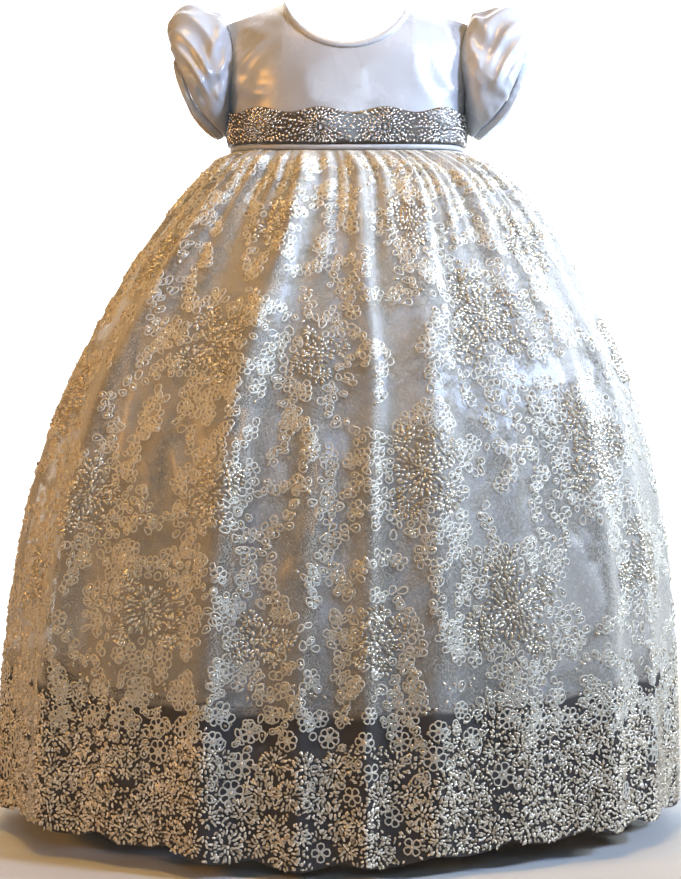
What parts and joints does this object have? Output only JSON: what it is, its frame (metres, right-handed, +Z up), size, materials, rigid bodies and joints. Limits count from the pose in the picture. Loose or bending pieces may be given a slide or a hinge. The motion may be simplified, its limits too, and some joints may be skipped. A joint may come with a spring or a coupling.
{
  "type": "christening gown",
  "caption": "Filled-out, hollow baby christening gown: satin bodice with puff sleeves and bead work belt over a full gathered skirt of beaded lace net on a shorter satin lining.",
  "frame": {"origin": "midway between the two neck points of the shoulders, where the wearer carries the gown", "axes": "+Z up along the gown's length, the front faces -Y, +X to the right of someone facing the front"},
  "size_m": [0.5058, 0.4203, 0.6168],
  "materials": {
    "satin": "ivory satin, soft sheen",
    "lining_satin": "ivory satin, soft sheen",
    "lace_net": "ivory net with corded and beaded lace",
    "bead_work": "silver and clear beads, glossy"
  },
  "bodies": {
    "root": {"bodice_front": "satin", "bodice_back_left": "satin", "bodice_back_right": "satin", "neck_binding": "satin", "sleeve_left": "satin", "sleeve_right": "satin", "cuff_left": "satin", "cuff_right": "satin", "belt": "bead_work", "waist_piping": "satin", "lining_front": "lining_satin", "lining_back": "lining_satin", "net_front": "lace_net", "net_back": "lace_net", "button_1": "satin", "button_2": "satin", "button_3": "satin"}
  },
  "joints": []
}
